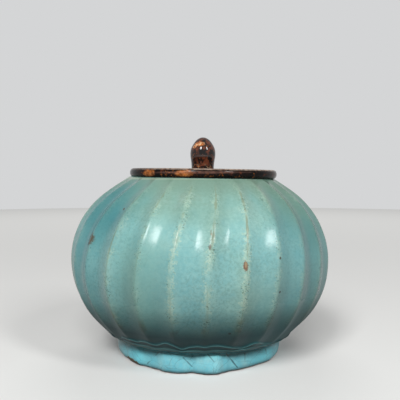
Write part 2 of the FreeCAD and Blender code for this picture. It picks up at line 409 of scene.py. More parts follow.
def collar_rise(azimuth):
    """Height of the collar's line over its mean level, in metres."""
    degrees = math.degrees(azimuth)
    first, last = COLLAR_LINE[0][0], COLLAR_LINE[-1][0]
    if first <= degrees <= last:
        return (blend_between(COLLAR_LINE, degrees) - COLLAR_LEVEL) * MM
    wave = (0.8 * math.cos(26 * (azimuth - 0.05)) + 0.6 * math.sin(9 * azimuth + 1.0)
            + 0.4 * math.sin(17 * azimuth) - 0.9)
    fade = min(1.0, (first - degrees if degrees < first else degrees - last) / 12.0)
    return (0.4 * wave * fade + COLLAR_LINE[0][1] - COLLAR_LEVEL) * MM


# The fuller right shoulder: its middle in degrees from the front, and its shares by height
# in millimetres and by turn from there in degrees.
SWELL_MIDDLE = 80.0
# Points nearer to the axis than this belong to the floor.
WALL_FROM = 40.0 * MM
SWELL_BY_HEIGHT = [(60.0, 0.15), (84.0, 0.7), (100.0, 1.0), (110.0, 1.0), (121.0, 0.0)]
SWELL_BY_TURN = [(0.0, 1.0), (25.0, 0.8), (70.0, 0.0)]


class JAR_OT_wall(bpy.types.Operator):
    """Turn the hollow wall, press the flutes into it and lean it on its foot"""

    bl_idname = "jar.build_wall"
    bl_label = "Fluted wall"

    def execute(self, context):
        sizes = context.scene.jar_sizes
        pitch = 2.0 * math.pi / sizes.flutes
        columns = sizes.flutes * WALL_COLUMNS_PER_FLUTE
        rings, first_out, last_out = wall_profile(sizes)
        turn = sizes.first_ridge
        wall = turn_on_lathe("jar_wall", columns, rings, turn=turn)
        numbers = ring_numbers(wall, rings)

        flutes = wall.vertex_groups.new(name="flutes")
        collar = wall.vertex_groups.new(name="collar")
        outer = wall.vertex_groups.new(name="outside")
        ridge_distances = []
        on_outside = []
        collar_lines = []
        draw = random.Random(26)
        depth_of = [1.0 + draw.uniform(-DEPTH_SPREAD, DEPTH_SPREAD)
                    for _ in range(sizes.flutes)]
        for vertex, ring in zip(wall.data.vertices, numbers):
            azimuth = azimuth_of(vertex)
            place = (azimuth - turn) / pitch
            flute = math.floor(place) % sizes.flutes
            u = 1.0 - abs(2.0 * (place - math.floor(place)) - 1.0)
            ridge_distances.append(u * pitch / 2.0 * radius_of(vertex) / MM)
            outside = first_out <= ring < last_out
            on_outside.append(float(outside))
            if outside:
                share = straight_between(FLUTE_SHARES, rings[ring][1] / MM)
                weight = flute_weight(u) * share * depth_of[flute]
                if weight > 0.0:
                    flutes.add([vertex.index], min(1.0, weight / DEEPEST_SHARE), "REPLACE")
                outer.add([vertex.index], 1.0, "REPLACE")
            bead = straight_between(COLLAR_BEAD, rings[ring][1] / MM)
            side = blend_between(COLLAR_BY_TURN, abs(math.degrees(azimuth)))
            standing_out = bead * side if first_out - 1 <= ring < last_out else 0.0
            collar_lines.append(standing_out)
            if standing_out > 0.0:
                collar.add([vertex.index], standing_out, "REPLACE")
        store_numbers(wall, "from_ridge", ridge_distances)
        store_numbers(wall, "on_outside", on_outside)
        store_numbers(wall, "collar_line", collar_lines)
        slide_collar(wall, rings, numbers, first_out, last_out)
        apply_modifier(wall, "DISPLACE", vertex_group="flutes", mid_level=0.0,
                       strength=-DEEPEST_SHARE * sizes.flute_depth)
        apply_modifier(wall, "DISPLACE", vertex_group="collar", mid_level=0.0,
                       strength=sizes.collar_step)
        lean_ridges(wall, sizes.ridge_lean)
        swell_shoulder(wall, sizes.shoulder_swell)
        settle_mouth(wall, sizes.mouth_shift, sizes.rim_rise)
        subdivide_once(wall)
        roughen(wall, "outside")
        finish_piece(wall, "jar", "jar_body", celadon_glaze)
        return {"FINISHED"}


def store_numbers(piece, name, values):
    """Stores one number for each point, which a material can read."""
    attribute = piece.data.attributes.new(name, "FLOAT", "POINT")
    attribute.data.foreach_set("value", values)


def slide_collar(wall, rings, numbers, first_out, last_out):
    """Slides the rings by the collar up and down the slope along its wavy line."""
    low, high = rings[first_out], rings[first_out + len(SLOPE_HEIGHTS)]
    widening = (high[0] - low[0]) / (high[1] - low[1])
    for vertex, ring in zip(wall.data.vertices, numbers):
        if first_out <= ring < last_out:
            share = straight_between(COLLAR_SLIDE, rings[ring][1] / MM)
            rise = share * collar_rise(azimuth_of(vertex))
            push_out(vertex, widening * rise)
            vertex.co.z += rise


def lean_ridges(wall, full_lean):
    """Turns the mouth with the wall under it following less and less, so that the ridges
    lean to the right on their way up."""
    bpy.ops.object.mode_set(mode="EDIT")
    bpy.ops.mesh.select_mode(type="VERT")
    bpy.ops.mesh.select_all(action="DESELECT")
    mesh = bmesh.from_edit_mesh(wall.data)
    for vertex in mesh.verts:
        vertex.select = vertex.co.z > LEAN_START
    mesh.select_flush(True)
    bmesh.update_edit_mesh(wall.data)
    turn_selected(full_lean, "Z", (0.0, 0.0, MOUTH_LEVEL), use_proportional_edit=True,
                  proportional_edit_falloff="SMOOTH", proportional_size=LEAN_REACH)
    bpy.ops.object.mode_set(mode="OBJECT")


def swell_shoulder(wall, amount):
    """Pushes the right shoulder out a little, where the thrown wall is fuller."""
    for vertex in wall.data.vertices:
        share = (blend_between(SWELL_BY_HEIGHT, vertex.co.z / MM)
                 * blend_between(SWELL_BY_TURN, degrees_from(vertex, SWELL_MIDDLE)))
        if radius_of(vertex) > WALL_FROM:
            push_out(vertex, share * amount)


# How much of the mouth's shift a place takes, by its height in millimetres, and how much
# of the rim's rise it takes, by its turn from the left end in degrees.
SHIFT_BY_HEIGHT = [(104.0, 0.0), (122.0, 1.0)]
RISE_BY_TURN = [(8.0, 1.0), (55.0, 0.0)]
# How far the mouth was drawn in, and the radii outside which this and the rise are felt.
DRAWN_IN, DRAWN_FROM, RISE_FROM = 0.5 * MM, 47.0 * MM, 50.8 * MM


def settle_mouth(wall, shift, rise):
    """Presses the mouth a little to the right and draws it in, and lifts its left edge."""
    for vertex in wall.data.vertices:
        share = blend_between(SHIFT_BY_HEIGHT, vertex.co.z / MM)
        radius = radius_of(vertex)
        if radius > RISE_FROM and vertex.co.z > MOUTH_LEVEL - 1.0 * MM:
            vertex.co.z += rise * blend_between(RISE_BY_TURN, degrees_from(vertex, -90.0))
        if radius > DRAWN_FROM:
            push_out(vertex, -DRAWN_IN * share)
            vertex.co.x += shift * share


def roughen(wall, group):
    """Gives the wall the slight unevenness of work done by hand."""
    texture = bpy.data.textures.new("throwing_lines", "CLOUDS")
    texture.noise_scale = THROWING_SIZE
    texture.noise_depth = 2
    apply_modifier(wall, "DISPLACE", texture=texture, texture_coords="LOCAL",
                   mid_level=0.5, strength=THROWING_HEIGHT, vertex_group=group)


def finish_piece(piece, body, node, material, leans=True):
    """Gives a piece its lean, its smooth faces, its material and its place in the frame."""
    clear_selection()
    piece.select_set(True)
    bpy.context.view_layer.objects.active = piece
    if leans:
        lean_with_jar()
    bpy.ops.object.shade_smooth()
    piece.vertex_groups.clear()
    piece.data.materials.clear()
    piece.data.materials.append(material())
    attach(piece, body)
    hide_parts(node)


# The foot's outer radius in millimetres by its turn from the front in degrees.
FOOT_OUTLINE = [(-90.0, 57.6), (-77.0, 57.8), (-66.0, 57.4), (-58.0, 57.2), (-50.0, 58.2),
                (-43.0, 58.8), (-37.0, 57.7), (-28.0, 58.6), (-20.0, 60.9), (-13.0, 61.2),
                (-8.0, 60.0), (-4.2, 58.4), (0.0, 60.2), (5.0, 62.3), (10.5, 62.6),
                (16.0, 60.2), (20.0, 58.9), (26.0, 58.8), (34.0, 58.2), (42.0, 58.0),
                (54.0, 59.0), (62.0, 58.4), (70.0, 58.0), (80.0, 57.6), (90.0, 57.6)]

# The radius that the foot is turned to before its lobes are pushed out of it.
FOOT_LEAST = 57.0 * MM


def foot_radius(azimuth):
    """The foot's outer radius in metres. Behind, it is made up of waves."""
    degrees = math.degrees(azimuth)
    if abs(degrees) <= 90.0:
        return blend_between(FOOT_OUTLINE, degrees) * MM
    wave = (0.9 * math.cos(13 * azimuth + 0.4) + 0.6 * math.sin(5 * azimuth)
            + 0.4 * math.cos(21 * azimuth))
    fade = min(1.0, (abs(degrees) - 90.0) / 12.0)
    return (57.6 + fade * (0.8 + wave)) * MM


class JAR_OT_foot(bpy.types.Operator):
    """Turn the foot and press its uneven lobes into it"""

    bl_idname = "jar.build_foot"
    bl_label = "Lobed foot"

    def execute(self, context):
        sizes = context.scene.foot_sizes
        top = FOOT_TOP + sizes.reach_up
        curl = sizes.edge_round
        inner = sizes.inner_radius
        outside = [(FOOT_LEAST - curl * (1.0 - math.sin(math.radians(a))),
                    curl * (1.0 - math.cos(math.radians(a)))) for a in range(0, 91, 18)]
        outside += [(FOOT_LEAST + bulge * MM, height * MM) for bulge, height in
                    ((0.25, 4.4), (0.4, 6.6), (0.4, 9.0), (0.2, 11.4), (0.0, 13.4))]
        outside.append((FOOT_LEAST - 0.3 * MM, top))
        inside = [(inner, top), (inner, 12.0 * MM), (inner, 8.0 * MM), (inner, 4.0 * MM),
                  (inner + 0.2 * MM, 1.2 * MM), (inner + 0.8 * MM, 0.35 * MM),
                  (inner + 1.8 * MM, 0.0)]
        foot = turn_on_lathe("jar_foot", FOOT_COLUMNS, outside + inside, ring=True)
        for vertex in foot.data.vertices:
            if radius_of(vertex) > FOOT_LEAST - 3.0 * MM:
                bulge = foot_radius(azimuth_of(vertex)) - FOOT_LEAST
                push_out(vertex, max(0.0, bulge))
        subdivide_once(foot)
        finish_piece(foot, "jar", "foot_ring", foot_glaze, leans=False)
        return {"FINISHED"}


# From the lid's edge in: to where its rounding ends, to the crest of the low lip round its
# top, and to the lip's inner side.
EDGE_WIDTH, CREST_WIDTH, LIP_WIDTH = 2.2 * MM, 3.4 * MM, 4.7 * MM


class JAR_OT_lid(bpy.types.Operator):
    """Turn the thin lid with its half-round edge and low lip"""

    bl_idname = "jar.build_lid"
    bl_label = "Lid"

    def execute(self, context):
        sizes = context.scene.lid_sizes
        flat = LID_TOP - sizes.lip_height
        rim = sizes.radius
        half = (LID_TOP - MOUTH_LEVEL) / 2.0
        middle = MOUTH_LEVEL + half
        edge = [(rim - EDGE_WIDTH + EDGE_WIDTH * math.cos(math.radians(a)),
                 middle + half * math.sin(math.radians(a))) for a in range(-90, 91, 15)]
        under = points_over(MOUTH_LEVEL, (0.0, 0.0), (12.0, 0.0), (30.0, 0.0), (44.0, 0.0))
        lip = [(rim - CREST_WIDTH, LID_TOP), (rim - 4.1 * MM, LID_TOP - 0.2 * MM),
               (rim - LIP_WIDTH, flat + 0.1 * MM), (rim - 5.6 * MM, flat)]
        top = points_over(flat, (38.0, 0.0), (24.0, 0.0), (14.0, 0.0), (0.0, 0.0))
        profile = under + [(rim - CREST_WIDTH, MOUTH_LEVEL)] + edge + lip + top
        lid = turn_on_lathe("lid_disc", LID_COLUMNS, profile, centre_x=sizes.shift)
        subdivide_once(lid)
        finish_piece(lid, "lid", "lid_plate", lid_lacquer)
        return {"FINISHED"}


class JAR_OT_lid_ring(bpy.types.Operator):
    """Turn the ring under the lid that drops into the mouth"""

    bl_idname = "jar.build_lid_ring"
    bl_label = "Ring under the lid"

    def execute(self, context):
        sizes = context.scene.lid_sizes
        low = node_height("lid_locating_ring", 0)
        outer = sizes.ring_radius
        inner = outer - sizes.ring_wall
        profile = [(outer, MOUTH_LEVEL), (outer, low + 4.0 * MM), (outer, low + 1.2 * MM),
                   (outer - 0.3 * MM, low + 0.3 * MM), (outer - 1.0 * MM, low),
                   (inner + 1.0 * MM, low), (inner + 0.3 * MM, low + 0.3 * MM),
                   (inner, low + 1.2 * MM), (inner, low + 4.0 * MM), (inner, MOUTH_LEVEL)]
        ring = turn_on_lathe(
            "lid_ring", LID_COLUMNS, profile, centre_x=sizes.shift, ring=True)
        finish_piece(ring, "lid", "lid_locating_ring", lid_lacquer)
        return {"FINISHED"}


# The knob's outline: radius and height above the lid, in millimetres. The greatest of each
# is what the knob's sizes are measured by.
KNOB_OUTLINE = [(7.4, -0.3), (7.9, 0.1), (8.0, 1.0), (8.05, 2.6), (8.2, 4.6), (8.45, 6.9),
                (8.85, 9.0), (9.05, 11.0), (9.0, 13.2), (8.6, 15.3), (7.9, 17.0),
                (6.9, 18.6), (6.0, 20.0), (4.9, 21.3), (3.7, 22.3), (2.4, 23.05),
                (1.2, 23.4), (0.0, 23.5)]


class JAR_OT_knob(bpy.types.Operator):
    """Turn the egg-shaped knob"""

    bl_idname = "jar.build_knob"
    bl_label = "Knob"

    def execute(self, context):
        sizes = context.scene.lid_sizes
        base = LID_TOP - sizes.lip_height
        tall = (KNOB_TOP - base) / max(height for _, height in KNOB_OUTLINE)
        wide = sizes.knob_radius / max(radius for radius, _ in KNOB_OUTLINE)
        profile = points_over(base, (0.0, -0.4), (3.0, -0.4))
        profile += [(radius * wide, base + height * tall) for radius, height in KNOB_OUTLINE]
        knob = turn_on_lathe("lid_knob_egg", KNOB_COLUMNS, profile, centre_x=sizes.knob_shift)
        subdivide_once(knob)
        finish_piece(knob, "lid", "lid_knob", knob_lacquer)
        return {"FINISHED"}


class Shader:
    """A small helper to set out the nodes of a material or of the world and join them."""

    def __init__(self, owner):
        owner.use_nodes = True
        self.owner = owner
        self.tree = owner.node_tree
        self.where = None
        self.colour = None

    def node(self, kind, inputs=None, **settings):
        made = self.tree.nodes.new("ShaderNode" + kind)
        for key, value in settings.items():
            setattr(made, key, value)
        for key, value in (inputs or {}).items():
            self.feed(made.inputs[key], value)
        return made

    def feed(self, socket, value):
        if isinstance(value, bpy.types.NodeSocket):
            self.tree.links.new(value, socket)
        else:
            socket.default_value = value

    def math(self, operation, a, b=0.0, c=0.0):
        return self.node("Math", {0: a, 1: b, 2: c}, operation=operation).outputs[0]

    def vector(self, operation, a, b=(0.0, 0.0, 0.0)):
        """One step of vector arithmetic, which gives a vector or a number."""
        second = "Scale" if operation == "SCALE" else 1
        made = self.node("VectorMath", {0: a, second: b}, operation=operation)
        number = operation in ("LENGTH", "DISTANCE", "DOT_PRODUCT")
        return made.outputs["Value" if number else "Vector"]

    def step(self, value, low, high, to_low=0.0, to_high=1.0, smooth=True):
        """Leads from one result, where the value is low, to another, where it is high."""
        made = self.node("MapRange", {"Value": value, "From Min": low, "From Max": high,
                                      "To Min": to_low, "To Max": to_high},
                         interpolation_type="SMOOTHSTEP" if smooth else "LINEAR")
        return made.outputs["Result"]

    def all_of(self, *values):
        result = values[0]
        for value in values[1:]:
            result = self.math("MULTIPLY", result, value)
        return result

    def total(self, *terms):
        """The sum of pairs of a value and its weight."""
        result = 0.0
        for value, weight in terms:
            result = self.math("MULTIPLY_ADD", value, weight, result)
        return result

    def mix(self, factor, a, b):
        # When it mixes colours, the node takes them at 6 and 7 and gives the result at 2.
        return self.node("Mix", {0: factor, 6: a, 7: b}, data_type="RGBA").outputs[2]

    def coat(self, shade, *shares):
        """Mixes the colour so far towards a shade by the product of the shares."""
        self.colour = self.mix(self.all_of(*shares), self.colour, shade)

    def noise(self, scale, detail, roughness=0.5, where=None):
        made = self.node("TexNoise", {"Vector": where or self.where, "Scale": scale,
                                      "Detail": detail, "Roughness": roughness})
        return made.outputs["Fac"]

    def clouds(self, scale, detail, low, high, to_low=0.0, to_high=1.0, roughness=0.5):
        """Noise cut into patches with soft edges."""
        return self.step(self.noise(scale, detail, roughness), low, high, to_low, to_high)

    def jitter(self, scale, amount, detail=2.0):
        """Noise about zero, reaching about half the amount to either side."""
        return self.math("MULTIPLY_ADD", self.noise(scale, detail), amount, -0.5 * amount)

    def upright(self, scale):
        """Coordinates scaled in height: under 1 draws a pattern out, over 1 packs it."""
        return self.vector("MULTIPLY", self.where, (1.0, 1.0, scale))

    def shaken(self, scale, amount, where=None):
        """Coordinates moved about by noise, so that lines drawn on them wander."""
        where = where or self.where
        noise = self.node("TexNoise", {"Vector": where, "Scale": scale, "Detail": 2.0})
        offset = self.vector("SUBTRACT", noise.outputs["Color"], (0.5, 0.5, 0.5))
        return self.vector("ADD", where, self.vector("SCALE", offset, amount))

    def cracks(self, where, scale, width):
        """Thin lines of a net of cells: 1 on a line, 0 off it. The width is in metres."""
        made = self.node("TexVoronoi", {"Vector": where, "Scale": scale},
                         feature="DISTANCE_TO_EDGE")
        return self.step(made.outputs["Distance"], 0.2 * width * scale, width * scale,
                         1.0, 0.0)

    def crackle(self, shade, wide_net, strength, fine_scale):
        """Draws a net of cracks into the colour, with a finer and fainter one between."""
        fine_net = self.cracks(self.shaken(150.0, 0.004), fine_scale, 0.2 * MM)
        self.coat(shade, self.math("MAXIMUM", self.math("MULTIPLY", wide_net, strength),
                                   self.math("MULTIPLY", fine_net, 0.08)))

    def dots(self, scale, radius, share):
        """Round dots in a share of the cells: 1 in a dot, 0 outside. Radius in metres."""
        cells = self.node("TexVoronoi", {"Vector": self.where, "Scale": scale}).outputs
        lot = self.node("SeparateColor", {"Color": cells["Color"]}).outputs[0]
        size = self.step(lot, 1.0 - share, 1.0, 0.0, radius * scale, smooth=False)
        return self.math("LESS_THAN", cells["Distance"], size)

    def spot(self, place, half_sizes, edge, ragged=0.0):
        """A soft oval mark at a place given in millimetres: 1 inside, 0 outside."""
        offset = self.vector("SUBTRACT", self.where, [value * MM for value in place])
        scaled = self.vector("MULTIPLY", offset, [1.0 / (value * MM) for value in half_sizes])
        distance = self.math("ADD", self.vector("LENGTH", scaled), ragged)
        return self.step(distance, 1.0 - edge, 1.0 + edge, 1.0, 0.0)

    def line(self, start, end, width, ragged):
        """A crack between two places given in millimetres: 1 on it, 0 off it."""
        start = Vector(start) * MM
        run = Vector(end) * MM - start
        along = run.normalized()
        away = self.vector("SUBTRACT", self.where, start)
        held = self.math("MAXIMUM", self.vector("DOT_PRODUCT", away, along), 0.0)
        held = self.math("MINIMUM", held, run.length)
        gap = self.vector("DISTANCE", away, self.vector("SCALE", along, held))
        return self.step(self.math("ADD", gap, ragged), 0.3 * width * MM, width * MM, 1.0, 0.0)

    def stored(self, name):
        """A number that the piece stores for each of its points."""
        return self.node("Attribute", attribute_name=name).outputs["Fac"]

    def heights(self, lean=0.0):
        """Height above the table in millimetres, squared to a piece that leans."""
        parts = self.node("SeparateXYZ", {"Vector": self.where}).outputs
        level = self.math("MULTIPLY_ADD", parts["X"], math.sin(lean), parts["Z"])
        return self.math("MULTIPLY", level, 1.0 / MM)

    def seen_directly(self):
        """1 for what the camera, a mirror image or a clear body shows, 0 for soft light."""
        path = self.node("LightPath").outputs
        seen = self.math("MAXIMUM", path["Is Camera Ray"], path["Is Glossy Ray"])
        return self.math("MAXIMUM", seen, path["Is Transmission Ray"])

    def finish(self, roughness, relief, bump_size, bump_strength, ior=1.4):
        """Joins all to the surface and gives the finished material."""
        bump = self.node("Bump", {"Height": relief, "Distance": bump_size,
                                  "Strength": bump_strength})
        surface = self.tree.nodes["Principled BSDF"].inputs
        surface["IOR"].default_value = ior
        self.feed(surface["Base Color"], self.colour)
        self.feed(surface["Roughness"], roughness)
        self.feed(surface["Normal"], bump.outputs["Normal"])
        return self.owner

    def show(self, last):
        """Joins the last node to the output."""
        output = next(n for n in self.tree.nodes if n.type.startswith("OUTPUT"))
        self.feed(output.inputs["Surface"], last.outputs[0])


def new_material(name):
    """A new material's nodes, with the coordinates of the piece itself."""
    shader = Shader(bpy.data.materials.new(name))
    shader.where = shader.node("TexCoord").outputs["Object"]
    return shader


# Broad darker patches, partly glaze tone and partly painted shade on the shoulders and sides:
# place, half sizes, colour and strength.
TONE_AND_SHADE_PATCHES = (
    ((-62.0, -46.0, 106.0), (28.0, 34.0, 27.0), (40, 112, 118), 0.78),
    ((66.0, -40.0, 106.0), (32.0, 38.0, 28.0), (76, 110, 96), 0.68),
    ((58.0, -64.0, 66.0), (22.0, 24.0, 36.0), (80, 138, 144), 0.45),
    ((-10.0, -62.0, 112.0), (40.0, 30.0, 16.0), (112, 148, 134), 0.35),
    ((-36.0, -78.0, 62.0), (19.0, 18.0, 32.0), (104, 150, 142), 0.5),
    ((-72.0, -44.0, 62.0), (16.0, 30.0, 34.0), (70, 148, 156), 0.5),
    ((76.0, -38.0, 64.0), (16.0, 28.0, 38.0), (76, 126, 126), 0.4),
)

# Marks in the body's glaze: place in millimetres, half sizes in millimetres, colour.
GLAZE_MARKS = (
    ((-67.4, -53.4, 84.6), (3.8, 3.8, 3.8), (86, 66, 42)),
    ((-68.6, -52.0, 81.8), (2.2, 2.2, 1.7), (44, 34, 22)),
    ((27.0, -86.2, 72.7), (1.35, 2.0, 2.9), (120, 72, 46)),
    ((27.1, -86.1, 73.3), (0.55, 2.0, 1.6), (160, 142, 112)),
    ((6.6, -86.9, 83.4), (0.8, 2.0, 1.5), (76, 62, 40)),
    ((7.2, -85.3, 92.5), (0.8, 2.0, 2.6), (120, 116, 88)),
    ((18.4, -75.5, 30.7), (0.8, 1.5, 0.7), (38, 46, 44)),
    ((47.9, -75.4, 55.5), (0.9, 1.5, 0.8), (44, 52, 46)),
    ((78.9, -37.6, 49.7), (1.0, 1.4, 1.9), (86, 74, 52)),
    ((48.0, -75.7, 75.8), (0.8, 1.5, 0.8), (70, 60, 44)),
    ((-46.2, -57.6, 103.6), (0.9, 1.2, 0.9), (64, 66, 52)),
)


def celadon_glaze():
    glaze = new_material("celadon_over_stoneware")
    look = bpy.context.scene.glaze_look
    height = glaze.heights()
    ridge = glaze.stored("from_ridge")
    outside = glaze.stored("on_outside")
    middle = glaze.noise(62.0, 4.0, 0.6, glaze.upright(0.55))
    fine = glaze.noise(420.0, 3.0, 0.6)

    # The flutes: blue where the glaze lies thick, greener in patches and up the shoulder.
    glaze.colour = glaze.mix(glaze.step(middle, 0.3, 0.72), look.deep[:], look.flute[:])
    glaze.coat(look.green[:], glaze.clouds(17.0, 3.0, 0.46, 0.7, 0.0, 0.55))
    wavering = glaze.math("ADD", height, glaze.jitter(30.0, 26.0))
    glaze.coat(look.green[:], glaze.step(wavering, 86.0, 116.0, 0.0, 0.85))
    glaze.coat(rgb(146, 160, 146), glaze.step(middle, 0.5, 0.75),
               glaze.step(height, 98.0, 110.0, 0.0, 0.55))
    glaze.coat(rgb(98, 166, 182), glaze.clouds(34.0, 2.0, 0.56, 0.72),
               glaze.step(ridge, 2.0, 6.0), 0.5)
    glaze.coat(look.deep[:], glaze.step(ridge, 2.5, 8.0), outside,
               glaze.clouds(23.0, 2.0, 0.42, 0.62, 0.1, 0.5))
    glaze.coat(rgb(160, 198, 190), glaze.step(fine, 0.3, 0.7, 0.0, 0.3))
    glaze.coat(rgb(98, 132, 118), glaze.clouds(640.0, 3.0, 0.46, 0.64, roughness=0.7),
               glaze.clouds(26.0, 3.0, 0.38, 0.62, 0.08, 0.34))

    # The glaze runs thin on the ridges: pale specks crowd there, with olive and rust.
    nearness = glaze.math("ADD", ridge, glaze.jitter(170.0, 2.4))
    least = glaze.math("MULTIPLY_ADD", nearness, 0.085, 0.3)
    thin = glaze.step(glaze.math("SUBTRACT", glaze.noise(800.0, 2.0, 0.6), least), 0.0, 0.09)
    ends = glaze.all_of(glaze.step(height, 23.0, 34.0), glaze.step(height, 122.5, 116.0),
                        outside)
    band = glaze.all_of(thin, ends, glaze.clouds(75.0, 2.0, 0.38, 0.6, 0.12, 1.0))
    pale = glaze.mix(glaze.step(fine, 0.35, 0.65), rgb(158, 188, 168), look.ridge[:])
    glaze.coat(pale, band, 0.6)
    crest = glaze.math("ADD", ridge, glaze.jitter(240.0, 2.0))
    patchy = glaze.noise(70.0, 3.0, where=glaze.upright(0.5))
    glaze.coat(look.core[:], glaze.step(crest, 0.3, 0.9, 1.0, 0.0), ends,
               glaze.step(patchy, 0.46, 0.6), glaze.step(height, 64.0, 92.0, 0.3, 1.0), 0.6)
    pits = glaze.all_of(glaze.clouds(1000.0, 1.0, 0.6, 0.68),
                        glaze.step(nearness, 1.8, 4.2, 1.0, 0.0), ends,
                        glaze.clouds(85.0, 2.0, 0.4, 0.56))
    glaze.coat(rgb(72, 92, 82), pits, 0.72)
    glaze.coat(rgb(118, 112, 78), glaze.step(nearness, 3.4, 1.2), outside,
               glaze.step(height, 46.0, 32.0), glaze.clouds(110.0, 2.0, 0.4, 0.6), 0.55)
    glaze.coat(rgb(74, 100, 94), glaze.dots(260.0, 0.34 * MM, 0.12), 0.55)

    wide_net = glaze.cracks(glaze.shaken(50.0, 0.014, glaze.upright(2.6)), 80.0, 0.24 * MM)
    glaze.crackle(rgb(84, 122, 120), wide_net, 0.22, 260.0)

    # Darker and paler zones, and the marks that the photograph shows.
    glaze.coat(rgb(108, 132, 114), glaze.step(height, 108.0, 120.0, 0.0, 0.7), outside)
    # Broad darker patches: partly glaze tone, partly painted shade on the shoulders and sides.
    for place, half_sizes, shade, strength in TONE_AND_SHADE_PATCHES:
        patch = glaze.spot(place, half_sizes, 0.55, glaze.jitter(28.0, 0.7))
        glaze.coat(rgb(*shade), patch, strength)
    glaze.coat(rgb(166, 180, 158), glaze.step(height, 121.2, 122.3), outside, 0.5)
    # Painted shade: the underside below the belly is painted darker towards the bottom.
    glaze.coat(rgb(17, 56, 60), glaze.step(height, 47.0, 27.0, 0.0, 0.96, smooth=False),
               outside)
    # The painted shade is painted lighter at the lower right.
    lighter_painted_shade = glaze.spot((46.0, -50.0, 22.0), (24.0, 26.0, 11.0), 0.5)
    glaze.coat(rgb(58, 116, 120), lighter_painted_shade, outside, 0.5)
    # The collar's line is painted lighter: partly thin glaze on its edge, partly painted light
    # where its step faces up.
    bead = glaze.step(glaze.stored("collar_line"), 0.5, 0.9, 0.0, 0.62)
    glaze.coat(rgb(110, 164, 166), bead)
    shake = glaze.jitter(900.0, 1.1)
    for place, half_sizes, shade in GLAZE_MARKS:
        glaze.coat(rgb(*shade), glaze.spot(place, half_sizes, 0.3, shake), 0.85)

    roughness = glaze.total((glaze.step(middle, 0.25, 0.75, 0.12, 0.2), 1.0), (band, 0.04),
                            (glaze.step(height, 56.0, 34.0, 0.0, 0.3), 1.0))
    relief = glaze.total((fine, 0.35), (glaze.noise(1300.0, 2.0), 0.2), (pits, -0.5),
                         (wide_net, -0.2))
    return glaze.finish(roughness, relief, 0.16 * MM, 0.35, 1.32)


# Long cracks in the foot's glaze: both ends in millimetres, width and strength.
FOOT_CRACKS = (
    ((17.4, -57.6, 12.8), (25.2, -53.4, 2.0), 0.55, 0.75),
    ((-33.0, -47.5, 3.2), (-25.7, -53.3, 11.9), 0.55, 0.5),
    ((-9.5, -59.6, 11.0), (-4.1, -58.7, 5.1), 0.55, 0.55),
    ((5.7, -62.0, 13.9), (9.6, -62.1, 9.2), 0.5, 0.5),
    ((44.2, -39.0, 9.8), (44.4, -37.3, 1.3), 0.55, 0.55),
    ((29.5, -50.8, 10.8), (29.5, -51.0, 6.6), 0.5, 0.5),
)


def foot_glaze():
    glaze = new_material("bright_foot_glaze")
    look = bpy.context.scene.glaze_look
    height = glaze.heights()
    middle = glaze.noise(75.0, 4.0, 0.6, glaze.upright(0.6))
    fine = glaze.noise(420.0, 3.0, 0.6)
    glaze.colour = glaze.mix(glaze.step(middle, 0.32, 0.7), look.foot_deep[:], look.foot[:])
    glaze.coat(rgb(160, 206, 208), glaze.step(fine, 0.35, 0.7, 0.0, 0.3))
    glaze.coat(rgb(166, 200, 196), glaze.clouds(40.0, 2.0, 0.52, 0.72),
               glaze.step(height, 1.0, 4.0, 0.0, 0.5))
    # Painted light: the foot's left and right ends are painted brighter.
    for place in ((-48.0, -36.0, 8.0), (50.0, -34.0, 8.0)):
        side = glaze.spot(place, (20.0, 24.0, 16.0), 0.5, glaze.jitter(40.0, 0.5))
        glaze.coat(rgb(122, 240, 255), side, 0.55)
    # Painted shade: the foot's rounded lower edge is painted darker.
    glaze.coat(rgb(58, 118, 130), glaze.step(height, 4.6, 0.8, 0.0, 0.55))
    # Painted light: the foot's top, which the collar shades, is painted brighter.
    glaze.coat(rgb(140, 246, 255), glaze.step(height, 9.5, 14.0, 0.0, 0.7))

    slanted = glaze.node("Mapping", {"Vector": glaze.where, "Rotation": (0.0, 0.7, 0.25),
                                     "Scale": (1.0, 1.0, 1.9)}).outputs["Vector"]
    net = glaze.cracks(glaze.shaken(70.0, 0.006, slanted), 78.0, 0.26 * MM)
    glaze.crackle(rgb(62, 106, 116), net, 0.3, 300.0)
    shake = glaze.jitter(260.0, 0.9 * MM)
    for start, end, width, strength in FOOT_CRACKS:
        glaze.coat(rgb(44, 72, 82), glaze.line(start, end, width, shake), strength)

    # Bare clay where the foot stands, and a chipped patch at its lower left.
    ragged = glaze.math("ADD", height, glaze.jitter(330.0, 1.6))
    chip = glaze.spot((-44.5, -36.5, 1.4), (8.5, 8.5, 2.3), 0.15, glaze.jitter(300.0, 1.3))
    bare = glaze.math("MAXIMUM", glaze.step(ragged, 0.5, 1.3, 1.0, 0.0), chip)
    glaze.coat(glaze.mix(fine, rgb(60, 50, 40), rgb(128, 112, 88)), bare)
    roughness = glaze.total((glaze.step(middle, 0.3, 0.7, 0.16, 0.28), 1.0), (bare, 0.5))
    relief = glaze.total((fine, 0.4), (glaze.math("MAXIMUM", net, bare), -0.5))
    return glaze.finish(roughness, relief, 0.2 * MM, 0.4)


# Amber places in the lacquer: place and half sizes in millimetres.
LID_AMBER = (((-33.5, -38.6, 125.8), (5.4, 5.4, 2.4)), ((-9.6, -51.6, 125.6), (5.8, 4.0, 2.2)))
KNOB_AMBER = (((0.4, -6.0, 146.6), (3.4, 4.0, 1.5)), ((-3.0, -5.0, 144.6), (1.6, 3.0, 1.0)))


